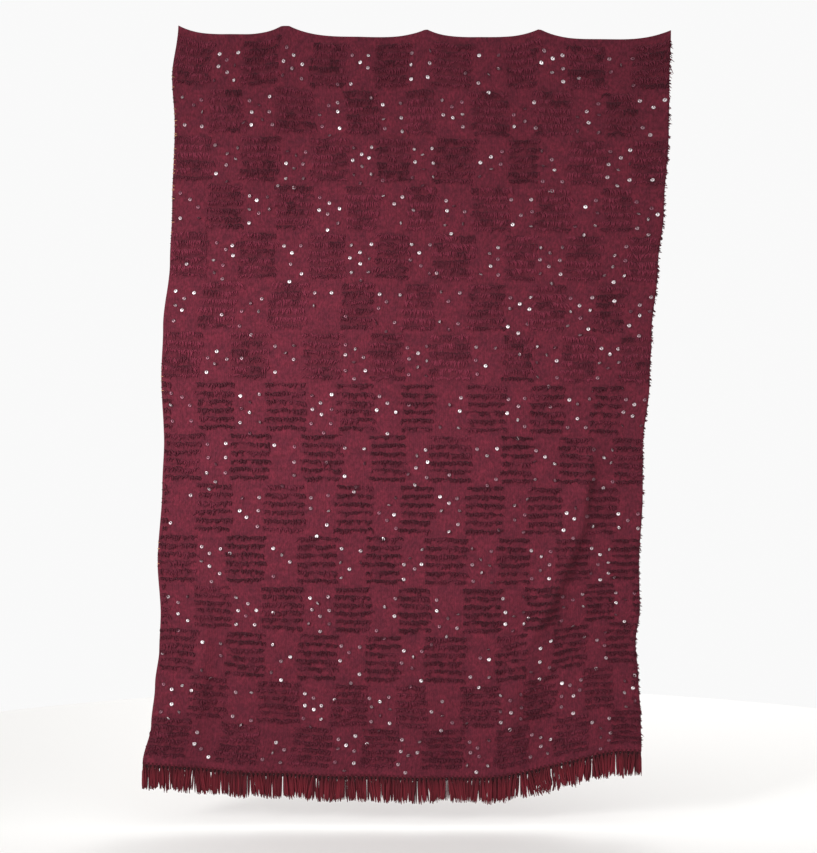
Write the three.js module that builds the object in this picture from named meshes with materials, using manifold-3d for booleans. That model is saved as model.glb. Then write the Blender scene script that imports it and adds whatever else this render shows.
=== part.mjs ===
// A handira: a Moroccan wedding blanket, hung by its top edge from a few points.
//
// It is one hand-woven wool cloth. Squares of short shag, woven in as rows of tufts, stand out of its
// front like the dark squares of a draughtboard, and the warp ends are left below the hem as a fringe.
//
// Millimetres. +X runs to the right across the cloth, +Z is up, and the front faces -Y. The origin is
// the point that the blanket hangs from nearest its middle, so the cloth lies below it. A place in the
// cloth is given as "across", from the left selvedge, and "down", from the top edge.

import * as THREE from "three";
import { mergeVertices } from "three/addons/utils/BufferGeometryUtils.js";
import Module from "manifold-3d";

const wasm = await Module();
wasm.setup();

// The cloth
const THICKNESS = 3;
const TOP_MARGIN = 13;
const HEM_MARGIN = 20;

// The shag squares: the width of each column and the height of each row, uneven as they were woven
const COLUMN_WIDTHS = [97, 87, 94, 98, 95, 87, 83, 74, 100, 92, 73, 79, 81, 67, 73];
const ROW_HEIGHTS = [124, 124, 126, 125, 129, 133, 132, 135, 132, 135, 134, 126, 130, 116, 109];
const SHAG_HEIGHT = 7;
const SHAG_LUMPS = 0.5; // how much its height varies, as a share of it
const SHAG_SPILL = 5; // how far a square's tufts spill past its columns
const SHAG_SHOULDER = 9; // from a square's first or last row of tufts to its full height
const SHAG_PAST_SELVEDGE = 12;

// The locks of shag that hang over the right selvedge, a few to each dark square there
const LOCKS_A_SQUARE = 4;
const LOCK = { root: 13, tip: 4, rooted: 7, length: 9, droop: 5, thickness: 3 };

const total = (sizes) => sizes.reduce((sum, size) => sum + size, 0);
const WIDTH = total(COLUMN_WIDTHS);
const LENGTH = TOP_MARGIN + total(ROW_HEIGHTS) + HEM_MARGIN;

// Where the top edge is held up: its height there, and its sag on the way to the next point
const HANGING_POINTS = [
  { across: 0, height: 10, sag: 25 },
  { across: 282, height: 8, sag: 0 },
  { across: 304, height: 8, sag: 28 },
  { across: 693, height: 0, sag: 24 },
  { across: 987, height: 0, sag: 28 },
  { across: WIDTH, height: -3, sag: 0 },
];
const SAG_FADES_OVER = 130;
const TOP_LEVEL = { left: -15, right: -29 }; // the height that the sags average out to

// The selvedges, which wander as the cloth hangs
const SELVEDGES = [
  { down: 0, left: -657, right: 639 },
  { down: 120, left: -673, right: 635 },
  { down: 240, left: -666, right: 633 },
  { down: 450, left: -672, right: 620 },
  { down: 600, left: -678, right: 604 },
  { down: 770, left: -696, right: 588 },
  { down: 900, left: -701, right: 583 },
  { down: 1070, left: -694, right: 565 },
  { down: 1190, left: -699, right: 565 },
  { down: 1390, left: -711, right: 555 },
  { down: 1530, left: -703, right: 557 },
  { down: 1640, left: -706, right: 545 },
  { down: 1740, left: -716, right: 551 },
  { down: 1840, left: -725, right: 556 },
  { down: LENGTH, left: -747, right: 557 },
];

// Toward the top the cloth is drawn to the left, most of all right of its middle
const TOP_DRAWN_LEFT = 0.28;
const DRAW_FADES_BY = 1100;

// How far the two lower corners are drawn up, fading across the cloth between two places
const CORNER_LIFTS = [
  { lift: 14, from: 560, to: 60, starts: 1400, ends: 1750 },
  { lift: 16, from: 260, to: -10, starts: 1400, ends: 1750 },
  { lift: 60, from: 850, to: 1240, starts: 1270, ends: 1740 },
  { lift: 18, from: 1000, to: 1240, starts: 1860, ends: LENGTH },
];

// How far the two lower corners swing forward
const CORNER_SWINGS = [
  { swing: 16, from: 220, to: 20, starts: 1500, ends: LENGTH },
  { swing: 22, from: 1000, to: 1220, starts: 1500, ends: LENGTH },
];

// Soft folds: the line each runs along, in the hung cloth's own X and Z, its height and half width
const FOLDS = [
  { from: [430, -1100], to: [300, -1520], height: 15, halfWidth: 34 },
  { from: [330, -1500], to: [215, -1790], height: 12, halfWidth: 38 },
  { from: [-585, -1560], to: [-610, -1830], height: 12, halfWidth: 26 },
  { from: [345, -1740], to: [420, -1900], height: 9, halfWidth: 30 },
  { from: [-120, -1500], to: [-60, -1860], height: 5, halfWidth: 60 },
  { from: [-380, -60], to: [-480, -420], height: 7, halfWidth: 45 },
  { from: [300, -60], to: [380, -380], height: 6, halfWidth: 50 },
];
const FOLD_FADES_OVER = 90;
const FIRST_FOLDED_ROW = 8;

// The cloth bellies forward between the points that it hangs from, and billows a little below
const BELLY_SHARE = 0.045; // of the distance between two hanging points
const BELLY_FADES_OVER = 420;
const BILLOW = { height: 4, acrossPeriod: 600, downPeriod: 1900, growsOver: 300 };
const HEM_RIPPLE = { height: 5, period: 215, starts: 1500 };

// The fringe
const FRINGE_GAP = 0.3;
const HEADING = { height: 8, thickness: 4 };
const STRANDS = 118;
const STRAND = { length: 65, spread: 0.2, swing: 3 };
// A strand's sections, as shares of its length below the heading: narrow where the warps are twisted
const STRAND_SECTIONS = [
  { at: -0.08, width: 3.6, depth: 2.6 },
  { at: 0.16, width: 4.6, depth: 3.2 },
  { at: 0.5, width: 7.4, depth: 3.6 },
  { at: 1, width: 6.4, depth: 2.6 },
];
const STRANDS_A_CLUMP = { fewest: 3, most: 8 };
const CLUMP_DRAWS_IN = 0.16; // how far a clump's strands lean in, as a share of their distance

const CLOTH_COLOUR = 0x732e3b;
const FRINGE_COLOUR = 0x672730;

const { lerp, smoothstep, clamp, seededRandom } = THREE.MathUtils;
const MERGE_WITHIN = 0.001;
const MOST_COUNTS = 1000;

// A value from 0 to 1 that is the same every time for the same two counts
function uneven(first, second) {
  return seededRandom(first * MOST_COUNTS + second);
}

// The span of a table that a value falls in, and how far along it from 0 to 1
function spanOf(table, key, value) {
  const last = table.length - 2;
  const found = table.findIndex((row, i) => i > 0 && value <= row[key]) - 1;
  const i = clamp(found < 0 ? last : found, 0, last);
  const share = (value - table[i][key]) / (table[i + 1][key] - table[i][key]);
  return { before: table[i], after: table[i + 1], share: clamp(share, 0, 1) };
}

// Eases from 0 to 1 between two places, whichever of them is the larger
function ease(value, from, to) {
  const share = clamp((value - from) / (to - from), 0, 1);
  return share * share * (3 - 2 * share);
}

function topEdge(across) {
  const { before, after, share } = spanOf(HANGING_POINTS, "across", across);
  return lerp(before.height, after.height, share) - before.sag * (1 - Math.abs(2 * share - 1) ** 3);
}

function sideways(across, down) {
  const { before, after, share } = spanOf(SELVEDGES, "down", down);
  const eased = smoothstep(share, 0, 1);
  const left = lerp(before.left, after.left, eased);
  const right = lerp(before.right, after.right, eased);
  const along = across / WIDTH;
  const drawn = TOP_DRAWN_LEFT * clamp(1 - down / DRAW_FADES_BY, 0, 1) * along ** 2 * (1 - along);
  return lerp(left, right, along - drawn);
}

function height(across, down) {
  const level = lerp(TOP_LEVEL.left, TOP_LEVEL.right, across / WIDTH);
  const scallop = (topEdge(across) - level) * Math.exp(-down / SAG_FADES_OVER);
  const lifts = CORNER_LIFTS.map(
    (corner) => corner.lift * ease(across, corner.from, corner.to) * ease(down, corner.starts, corner.ends),
  );
  return level - down + scallop + total(lifts);
}

// How far a fold stands forward of the cloth at a place: a soft ridge along its line
function foldHeight(fold, x, z) {
  const line = new THREE.Vector2(fold.to[0] - fold.from[0], fold.to[1] - fold.from[1]);
  const place = new THREE.Vector2(x - fold.from[0], z - fold.from[1]);
  const length = line.length();
  const along = place.dot(line) / length;
  const off = place.cross(line) / length;
  const fadeIn = ease(along, -FOLD_FADES_OVER, FOLD_FADES_OVER);
  const fadeOut = ease(along, length + FOLD_FADES_OVER, length - FOLD_FADES_OVER);
  return fold.height * fadeIn * fadeOut * Math.exp(-((off / fold.halfWidth) ** 2));
}

// How far the cloth stands forward of the wall that it hangs against
function forward(across, down) {
  const x = sideways(across, down);
  const z = height(across, down);
  const { before, after, share } = spanOf(HANGING_POINTS, "across", across);
  const bellyDepth = BELLY_SHARE * (after.across - before.across) * Math.sin(Math.PI * share) ** 2;
  const belly = bellyDepth * Math.exp(-down / BELLY_FADES_OVER);
  const billowTurn = 2 * Math.PI * (across / BILLOW.acrossPeriod + down / BILLOW.downPeriod);
  const billow = BILLOW.height * (1 + Math.sin(billowTurn)) * (1 - Math.exp(-down / BILLOW.growsOver));
  const rippleTurn = (2 * Math.PI * across) / HEM_RIPPLE.period;
  const ripple = HEM_RIPPLE.height * (1 + Math.sin(rippleTurn)) * ease(down, HEM_RIPPLE.starts, LENGTH);
  const swings = CORNER_SWINGS.map(
    (corner) => corner.swing * ease(across, corner.from, corner.to) * ease(down, corner.starts, corner.ends),
  );
  return belly + billow + ripple + total(swings) + total(FOLDS.map((fold) => foldHeight(fold, x, z)));
}

// The middle of the cloth's thickness at a place
function hung(across, down) {
  return new THREE.Vector3(sideways(across, down), -forward(across, down), height(across, down));
}

// The edges of a run of widths, from where it starts
function edgesOf(sizes, start) {
  return sizes.reduce((edges, size) => [...edges, edges.at(-1) + size], [start]);
}

const COLUMN_EDGES = edgesOf(COLUMN_WIDTHS, 0);
const ROW_EDGES = edgesOf(ROW_HEIGHTS, TOP_MARGIN);

// The dark squares, the shag, are the draughtboard's own, from its top left
const isDark = (column, row) => (column + row) % 2 === 0;

// From 0 to 1, how much of the shag's height stands at a place: full inside a dark square
function shagShare(across, down) {
  const row = ROW_EDGES.findLastIndex((edge) => down >= edge);
  if (row < 0 || row >= ROW_HEIGHTS.length) return 0;
  const fromRow = Math.min(down - ROW_EDGES[row], ROW_EDGES[row + 1] - down) / SHAG_SHOULDER;
  const shares = COLUMN_WIDTHS.map((_, column) => {
    if (!isDark(column, row)) return 0;
    const fromSide = Math.min(across - COLUMN_EDGES[column], COLUMN_EDGES[column + 1] - across);
    return clamp((fromSide + SHAG_SPILL) / (2 * SHAG_SPILL), 0, 1);
  });
  return Math.max(...shares) * clamp(fromRow, 0, 1);
}

// The lines across the cloth that its shape needs: both sides of each column's edge, and its middle
// or the hanging point in it
function linesAcross() {
  const lines = COLUMN_WIDTHS.flatMap((width, column) => {
    const start = COLUMN_EDGES[column];
    const [first, last] = [start + 2 * SHAG_SPILL, start + width - 2 * SHAG_SPILL];
    const point = HANGING_POINTS.find(({ across }) => across > first && across < last);
    const sides = column ? [start - SHAG_SPILL, start + SHAG_SPILL] : [0];
    return [...sides, point ? point.across : start + width / 2];
  });
  return [...lines, WIDTH];
}

// The lines down it: the shoulders of each row, and the middle of the rows that the folds cross
function linesDown() {
  const lines = ROW_HEIGHTS.flatMap((size, row) => {
    const start = ROW_EDGES[row];
    const middle = row >= FIRST_FOLDED_ROW ? [start + size / 2] : [];
    return [start, start + SHAG_SHOULDER, ...middle, start + size - SHAG_SHOULDER];
  });
  return [0, ...lines, ROW_EDGES.at(-1), LENGTH];
}

// Moves each corner of a divided unit box to the place that a function gives for its counts along X
// and down from the top, and the face that it is on
function reshapeBox(alongX, alongY, alongZ, place) {
  const box = new THREE.BoxGeometry(1, 1, 1, alongX, alongY, alongZ);
  const corners = box.attributes.position;
  for (let n = 0; n < corners.count; n += 1) {
    const column = Math.round((corners.getX(n) + 0.5) * alongX);
    const row = Math.round((0.5 - corners.getZ(n)) * alongZ);
    const { x, y, z } = place(column, row, corners.getY(n) < 0);
    corners.setXYZ(n, x, y, z);
  }
  return box;
}

// A lock of shag from a row's square at the right selvedge, drooping past the cloth's edge
function lock(row, count) {
  const down = ROW_EDGES[row] + (ROW_HEIGHTS[row] * (count + 0.5)) / LOCKS_A_SQUARE;
  const root = hung(WIDTH, down);
  const length = LOCK.length * (0.5 + uneven(row, count));
  return reshapeBox(1, 1, 1, (column, side, isFront) => {
    const width = column ? LOCK.tip : LOCK.root;
    return new THREE.Vector3(
      root.x + (column ? length : -LOCK.rooted),
      root.y + (isFront ? -0.5 : 0.5) * LOCK.thickness,
      root.z + (0.5 - side) * width - column * LOCK.droop,
    );
  });
}

// One woven sheet, even in thickness, with the shag squares raised as lumpy slabs on its front
function sheet() {
  const across = linesAcross();
  const down = linesDown();
  return reshapeBox(across.length - 1, 1, down.length - 1, (column, row, isFront) => {
    const place = hung(across[column], down[row]);
    const share = shagShare(across[column], down[row]);
    const isSelvedge = column === across.length - 1;
    if (isSelvedge) place.x += SHAG_PAST_SELVEDGE * share * uneven(column, row);
    if (!isFront) return place.setY(place.y + THICKNESS / 2);
    const lump = SHAG_HEIGHT * share * (1 + SHAG_LUMPS * (uneven(column, row) - 0.5));
    return place.setY(place.y - THICKNESS / 2 - lump);
  });
}

// The strip under the hem that the fringe's strands are rooted in
function heading() {
  const across = linesAcross();
  return reshapeBox(across.length - 1, 1, 1, (column, row, isFront) => {
    const place = hung(across[column], LENGTH);
    place.z -= FRINGE_GAP + row * HEADING.height;
    place.y += (isFront ? -0.5 : 0.5) * HEADING.thickness;
    return place;
  });
}

// A place on the hem, which runs straight between the cloth's lines
function hemAt(across) {
  const lines = linesAcross();
  const next = lines.findIndex((line) => line > across);
  const share = (across - lines[next - 1]) / (lines[next] - lines[next - 1]);
  return hung(lines[next - 1], LENGTH).lerp(hung(lines[next], LENGTH), share);
}

// The counts of the strands that each clump of the fringe begins with, and the count past the last
function clumpStarts() {
  const starts = [0];
  while (starts.at(-1) < STRANDS) {
    const { fewest, most } = STRANDS_A_CLUMP;
    const size = Math.round(lerp(fewest, most, uneven(starts.length, STRANDS)));
    starts.push(Math.min(starts.at(-1) + size, STRANDS));
  }
  return starts;
}

// A bundle of warp ends: twisted and thin at its root, fuller below, leaning in to its clump
function strand(count, starts) {
  const pitch = WIDTH / STRANDS;
  const root = hemAt((count + 0.5) * pitch);
  const clump = starts.findLastIndex((start) => count >= start);
  const middle = (starts[clump] + starts[clump + 1] - 1) / 2;
  const lean = (middle - count) * pitch * CLUMP_DRAWS_IN;
  const length = STRAND.length * (1 + STRAND.spread * (uneven(count, 1) - 0.5)) - HEADING.height;
  const swing = STRAND.swing * (uneven(count, 2) - 0.5);
  return reshapeBox(1, 1, STRAND_SECTIONS.length - 1, (column, row, isFront) => {
    const { at, width, depth } = STRAND_SECTIONS[row];
    return new THREE.Vector3(
      root.x + lean * at + (column - 0.5) * width,
      root.y + swing * at + (isFront ? -0.5 : 0.5) * depth,
      root.z - FRINGE_GAP - HEADING.height - at * length,
    );
  });
}

function solidOf(geometry) {
  const bare = geometry.clone().deleteAttribute("normal").deleteAttribute("uv");
  const merged = mergeVertices(bare, MERGE_WITHIN);
  return new wasm.Manifold(
    new wasm.Mesh({
      numProp: 3,
      vertProperties: merged.attributes.position.array,
      triVerts: new Uint32Array(merged.index.array),
    }),
  );
}

// A geometry with others joined to it
function joined(first, others) {
  const solid = others.reduce((made, next) => made.add(solidOf(next)), solidOf(first));
  const { vertProperties, triVerts } = solid.getMesh();
  const geometry = new THREE.BufferGeometry()
    .setAttribute("position", new THREE.BufferAttribute(vertProperties, 3))
    .setIndex(new THREE.BufferAttribute(triVerts, 1));
  geometry.computeVertexNormals();
  return geometry;
}

// The sheet and the locks on the dark squares at its right selvedge, as one solid
function groundCloth() {
  const rows = [...ROW_HEIGHTS.keys()].filter((row) => isDark(COLUMN_WIDTHS.length - 1, row));
  const locks = rows.flatMap((row) => Array.from({ length: LOCKS_A_SQUARE }, (_, count) => lock(row, count)));
  return joined(sheet(), locks);
}

// The heading with all its strands, as one solid
function fringe() {
  const starts = clumpStarts();
  return joined(heading(), Array.from({ length: STRANDS }, (_, count) => strand(count, starts)));
}

function piece(name, geometry, color) {
  const material = new THREE.MeshStandardMaterial({ color, roughness: 0.95, metalness: 0 });
  const mesh = new THREE.Mesh(geometry, material);
  mesh.name = name;
  return mesh;
}

const blanket = new THREE.Group();
blanket.add(piece("ground_cloth", groundCloth(), CLOTH_COLOUR), piece("fringe", fringe(), FRINGE_COLOUR));

export default blanket;
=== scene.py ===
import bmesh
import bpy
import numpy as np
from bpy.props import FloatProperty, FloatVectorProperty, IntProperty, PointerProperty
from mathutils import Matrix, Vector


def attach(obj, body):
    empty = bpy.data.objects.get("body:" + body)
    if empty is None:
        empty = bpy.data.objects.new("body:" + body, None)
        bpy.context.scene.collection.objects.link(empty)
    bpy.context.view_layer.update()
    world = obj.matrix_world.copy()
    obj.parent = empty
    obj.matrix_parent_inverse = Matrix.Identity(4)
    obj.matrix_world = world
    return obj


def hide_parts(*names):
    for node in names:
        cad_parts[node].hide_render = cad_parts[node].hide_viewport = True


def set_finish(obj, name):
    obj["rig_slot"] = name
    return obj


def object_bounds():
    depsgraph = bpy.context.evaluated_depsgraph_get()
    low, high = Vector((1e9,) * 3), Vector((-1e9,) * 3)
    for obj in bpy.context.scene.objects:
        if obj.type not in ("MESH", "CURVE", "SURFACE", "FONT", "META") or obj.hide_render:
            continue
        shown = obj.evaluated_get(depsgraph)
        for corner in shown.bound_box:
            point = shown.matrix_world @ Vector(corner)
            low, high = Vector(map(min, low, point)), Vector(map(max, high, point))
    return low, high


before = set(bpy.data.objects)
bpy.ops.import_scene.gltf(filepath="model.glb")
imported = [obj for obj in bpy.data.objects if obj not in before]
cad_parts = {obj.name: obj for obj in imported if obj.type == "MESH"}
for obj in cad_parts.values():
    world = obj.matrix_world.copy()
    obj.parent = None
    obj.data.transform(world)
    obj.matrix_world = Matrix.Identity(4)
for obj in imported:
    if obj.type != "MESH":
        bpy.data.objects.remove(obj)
CAD_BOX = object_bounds()

# A handira: a hand-woven wool wedding blanket, hung by its top edge from five points.
#
# Every piece is first laid out on the flat cloth and is then hung. A flat place is how far it is
# across the cloth from the left selvedge, how far up from the top edge (so the cloth lies at minus
# values), and how far out of the cloth's front. Metres throughout; the front faces -Y.

bl_info = {
    "name": "Handira Blanket",
    "version": (1, 0, 0),
    "blender": (4, 5, 0),
    "location": "3D View > Sidebar > Handira",
    "description": "Weaves a hung handira blanket with its shag, sequins and fringe",
    "category": "Object",
}

BODY = "root"


def rows_of(keys, *rows):
    """A table's rows, with each value under its column's key."""
    return [dict(zip(keys.split(), row)) for row in rows]


# The cloth, and the squares that it is woven in
THICKNESS = 0.003
TOP_MARGIN = 0.013
HEM_MARGIN = 0.020
COLUMN_WIDTHS = (
    0.097, 0.087, 0.094, 0.098, 0.095, 0.087, 0.083, 0.074,
    0.100, 0.092, 0.073, 0.079, 0.081, 0.067, 0.073,
)
ROW_HEIGHTS = (
    0.124, 0.124, 0.126, 0.125, 0.129, 0.133, 0.132, 0.135,
    0.132, 0.135, 0.134, 0.126, 0.130, 0.116, 0.109,
)
COLUMN_EDGES = np.cumsum([0, *COLUMN_WIDTHS])
ROW_EDGES = np.cumsum([TOP_MARGIN, *ROW_HEIGHTS])
WIDTH = COLUMN_EDGES[-1]
LENGTH = ROW_EDGES[-1] + HEM_MARGIN

# Where the top edge is held up: its height there, and its sag on the way to the next point
HANGING_POINTS = rows_of(
    "across height sag",
    (0, 0.010, 0.025),
    (0.282, 0.008, 0),
    (0.304, 0.008, 0.028),
    (0.693, 0, 0.024),
    (0.987, 0, 0.028),
    (WIDTH, -0.003, 0),
)
SAG_FLATNESS = 3
SAG_FADES_OVER = 0.130
TOP_LEVEL = {"left": -0.015, "right": -0.029}

# The selvedges, which wander as the cloth hangs
SELVEDGES = rows_of(
    "down left right",
    (0, -0.657, 0.639),
    (0.120, -0.673, 0.635),
    (0.240, -0.666, 0.633),
    (0.450, -0.672, 0.620),
    (0.600, -0.678, 0.604),
    (0.770, -0.696, 0.588),
    (0.900, -0.701, 0.583),
    (1.070, -0.694, 0.565),
    (1.190, -0.699, 0.565),
    (1.390, -0.711, 0.555),
    (1.530, -0.703, 0.557),
    (1.640, -0.706, 0.545),
    (1.740, -0.716, 0.551),
    (1.840, -0.725, 0.556),
    (LENGTH, -0.747, 0.557),
)
TOP_DRAWN_LEFT = 0.28
DRAW_FADES_BY = 1.100

# How far the lower corners are drawn up and swing forward, fading across between two places
CORNER_LIFTS = rows_of(
    "by start end top bottom",
    (0.014, 0.560, 0.060, 1.400, 1.750),
    (0.016, 0.260, -0.010, 1.400, 1.750),
    (0.060, 0.850, 1.240, 1.270, 1.740),
    (0.018, 1.000, 1.240, 1.860, LENGTH),
)
CORNER_SWINGS = rows_of(
    "by start end top bottom",
    (0.016, 0.220, 0.020, 1.500, LENGTH),
    (0.022, 1.000, 1.220, 1.500, LENGTH),
)

# Soft folds: the line each runs along, in the hung cloth's own X and Z, its height and half width
FOLDS = rows_of(
    "start end height half",
    ((0.430, -1.100), (0.300, -1.520), 0.015, 0.034),
    ((0.330, -1.500), (0.215, -1.790), 0.012, 0.038),
    ((-0.585, -1.560), (-0.610, -1.830), 0.012, 0.026),
    ((0.345, -1.740), (0.420, -1.900), 0.009, 0.030),
    ((-0.120, -1.500), (-0.060, -1.860), 0.005, 0.060),
    ((-0.380, -0.060), (-0.480, -0.420), 0.007, 0.045),
    ((0.300, -0.060), (0.380, -0.380), 0.006, 0.050),
)
FOLD_FADES_OVER = 0.090

# A sharper crease along the folds of the lower right, in lines as they are
CREASES = rows_of(
    "start end height half",
    ((0.425, -1.130), (0.400, -1.310), 0.0115, 0.0125),
    ((0.400, -1.310), (0.345, -1.450), 0.0135, 0.0125),
    ((0.345, -1.450), (0.290, -1.560), 0.0135, 0.0125),
    ((0.290, -1.560), (0.215, -1.700), 0.0090, 0.014),
    ((0.455, -1.560), (0.330, -1.640), 0.0050, 0.018),
)

# The belly between hanging points, the billow below it, the ripple of the hem and the fine wrinkles
BELLY_SHARE = 0.045
BELLY_FADES_OVER = 0.420
BILLOW = {"height": 0.004, "across": 0.600, "down": 1.900, "grows": 0.300}
HEM_RIPPLE = {"height": 0.005, "period": 0.215, "top": 1.500}
WRINKLES = rows_of(
    "height cell seed",
    (0.0016, 0.085, 11),
    (0.0007, 0.028, 12),
)

# The dark squares, and thin strips of shag that show at the selvedge of some plain ones
TUFT_ROWS = 6
TUFTS_START = 0.34  # of the way from one row of tufts to the next
SHAG_SPILL = 0.0055
FIRST_TUFT = 0.002  # how near the left selvedge a line of tufts may start
SELVEDGE_INSET = 0.001  # how near either selvedge a tuft may be rooted
EDGE_STRIPS = rows_of(
    "row start end",
    (7, 0.003, 0.022),
    (9, 0.003, 0.018),
    (11, 0.003, 0.022),
    (11, WIDTH - 0.022, WIDTH),
    (13, WIDTH - 0.018, WIDTH),
)
ROWS_A_PIECE = 3

# The rows of squares in bands, by the first row of each: how fluffy their squares are, how much those
# differ in shade, and how much paler they are
FLUFFY_ROWS = 7  # below these, the tufts are short and lie in lines
SHAG_BANDS = rows_of(
    "first fluff differ paler",
    (0, (0.6, 1), 0.08, 0),
    (2, (0.6, 1), 0.08, 0.08),
    (6, (0.6, 1), 0.08, 0),
    (7, (0, 0.22), 0.03, 0),
    (13, (0, 0.26), 0.03, 0.17),
)

# Soft noise over the shag, and where it makes patches, at what height of it they start and are full
TANGLED = {"cell": 0.006, "seed": 21}
DRIFTING = {"cell": 0.032, "seed": 22}
RAGGED = {"cell": 0.018, "seed": 41}
# Where the pile parts: painted shadow on its tufts
PARTING_SHADE = {"cell": 0.011, "seed": 23, "start": 0.05, "full": 0.4}
WORN = {"cell": 0.011, "seed": 24, "start": -0.15, "full": -0.65}
MATTED = {"cell": 0.036, "seed": 25, "start": 0.05, "full": 0.65}

# The wisps of shag that hang over the right selvedge, and the knots that show on the back
WISPS_A_SQUARE = 9
MORE_BY_SHAG = 3
TUFTS_A_WISP = (2, 9)
KNOTS = 13

# The sequins of a plain square: how far down it they are, and how far beside its middle
SEQUIN_LINES = rows_of(
    "down beside",
    (0.285, (-0.025, 0.025)),
    (0.415, (0,)),
    (0.560, (-0.025, 0.025)),
    (0.680, (0,)),
    (0.860, (-0.025, 0.025)),
    (1.035, (0,)),
)
SEQUIN_INSET = 0.008
SEQUIN_HOLE = 0.15
SEQUIN_SIDES = 12

# The fringe
STRANDS = 118
STRAND_LENGTH = 0.065
YARNS = 9
STRANDS_A_CLUMP = (2, 8)
CLUMP_DRAWS_IN = 0.25
CLUMP_SWAY = 0.0028

# The overcast stitches that show on the left selvedge: where each run of them starts and ends
STITCH_RUNS = rows_of(
    "top bottom count",
    (0.095, 0.545, 50),
    (0.860, 0.955, 11),
    (1.180, 1.225, 5),
    (1.330, 1.400, 9),
)

STEP = 0.0005  # how far apart two places are compared to find the cloth's slope
LATTICE = 256
TURN = 6.28


def linear(colour):
    """The linear red, green and blue of an sRGB hex colour."""
    channels = [int(colour[i : i + 2], 16) / 255 for i in (0, 2, 4)]
    return tuple(c / 12.92 if c <= 0.04045 else ((c + 0.055) / 1.055) ** 2.4 for c in channels)


# The cloth's hung shape

def mix(low, high, share):
    return low + (high - low) * share


def ease(value, start, end):
    """From 0 to 1 between two places, whichever of them is the larger."""
    share = np.clip((value - start) / (end - start), 0, 1)
    return share * share * (3 - 2 * share)


def named(table, key):
    return np.array([row[key] for row in table], dtype=float)


def span_of(table, key, value):
    """The table's row before each value, and how far on to the next row it is."""
    at = named(table, key)
    before = np.clip(np.searchsorted(at, value, side="right") - 1, 0, len(at) - 2)
    share = np.clip((value - at[before]) / (at[before + 1] - at[before]), 0, 1)
    return before, share


def between(table, key, before, share):
    values = named(table, key)
    return mix(values[before], values[before + 1], share)


def smooth_noise(across, down, cell, seed):
    """Soft lumps from -1 to 1 over the cloth, about one cell apart."""
    lattice = np.random.default_rng(seed).uniform(-1, 1, (LATTICE, LATTICE))
    u, v = across / cell, down / cell
    i, j = np.floor(u).astype(int), np.floor(v).astype(int)
    right, below = ease(u - i, 0, 1), ease(v - j, 0, 1)

    def corner(beside, under):
        return lattice[(i + beside) % LATTICE, (j + under) % LATTICE]

    over = mix(corner(0, 0), corner(1, 0), right)
    under = mix(corner(0, 1), corner(1, 1), right)
    return mix(over, under, below)


def patches(kind, across, down, more=0):
    """How far into a patch each place is, from 0 to 1."""
    noise = smooth_noise(across, down, kind["cell"], kind["seed"])
    return ease(noise + more, kind["start"], kind["full"])


def top_edge(across):
    before, share = span_of(HANGING_POINTS, "across", across)
    straight = between(HANGING_POINTS, "height", before, share)
    sags = 1 - np.abs(2 * share - 1) ** SAG_FLATNESS
    return straight - named(HANGING_POINTS, "sag")[before] * sags


def sideways(across, down):
    before, share = span_of(SELVEDGES, "down", down)
    share = ease(share, 0, 1)
    along = across / WIDTH
    drawn = TOP_DRAWN_LEFT * np.clip(1 - down / DRAW_FADES_BY, 0, 1) * along**2 * (1 - along)
    left = between(SELVEDGES, "left", before, share)
    right = between(SELVEDGES, "right", before, share)
    return mix(left, right, along - drawn)


def at_corners(table, across, down):
    return sum(
        row["by"] * ease(across, row["start"], row["end"]) * ease(down, row["top"], row["bottom"])
        for row in table
    )


def height(across, down):
    level = mix(TOP_LEVEL["left"], TOP_LEVEL["right"], across / WIDTH)
    scallop = (top_edge(across) - level) * np.exp(-down / SAG_FADES_OVER)
    return level - down + scallop + at_corners(CORNER_LIFTS, across, down)


def fold_height(fold, x, z):
    start, end = np.array(fold["start"]), np.array(fold["end"])
    length = np.linalg.norm(end - start)
    line = (end - start) / length
    along = (x - start[0]) * line[0] + (z - start[1]) * line[1]
    off = (x - start[0]) * line[1] - (z - start[1]) * line[0]
    fade_in = ease(along, -FOLD_FADES_OVER, FOLD_FADES_OVER)
    fade_out = ease(along, length + FOLD_FADES_OVER, length - FOLD_FADES_OVER)
    return fold["height"] * fade_in * fade_out * np.exp(-((off / fold["half"]) ** 2))


def forward(across, down):
    """How far the cloth stands forward of the wall that it hangs against."""
    x, z = sideways(across, down), height(across, down)
    before, share = span_of(HANGING_POINTS, "across", across)
    gaps = np.diff(named(HANGING_POINTS, "across"))[before]
    belly = BELLY_SHARE * gaps * np.sin(np.pi * share) ** 2 * np.exp(-down / BELLY_FADES_OVER)
    turn = 2 * np.pi * (across / BILLOW["across"] + down / BILLOW["down"])
    billow = BILLOW["height"] * (1 + np.sin(turn)) * (1 - np.exp(-down / BILLOW["grows"]))
    ripple = 1 + np.sin(2 * np.pi * across / HEM_RIPPLE["period"])
    ripple *= HEM_RIPPLE["height"] * ease(down, HEM_RIPPLE["top"], LENGTH)
    folds = sum(fold_height(fold, x, z) for fold in FOLDS + CREASES)
    wrinkles = sum(w["height"] * smooth_noise(across, down, w["cell"], w["seed"]) for w in WRINKLES)
    return belly + billow + ripple + at_corners(CORNER_SWINGS, across, down) + folds + wrinkles


def surface(across, down):
    """The middle of the hung cloth's thickness."""
    down = np.maximum(down, 0)
    return np.stack([sideways(across, down), -forward(across, down), height(across, down)], axis=-1)


def hang(flat):
    """The hung places of flat ones: across, up and out of the front."""
    across, down, out = flat[..., 0], -flat[..., 1], flat[..., 2]
    place = surface(across, down)
    to_right = surface(across + STEP, down) - place
    to_hem = surface(across, down + STEP) - place
    normal = np.cross(to_hem, to_right)
    normal /= np.linalg.norm(normal, axis=-1, keepdims=True)
    return place + normal * out[..., None]


# Meshes

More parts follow.
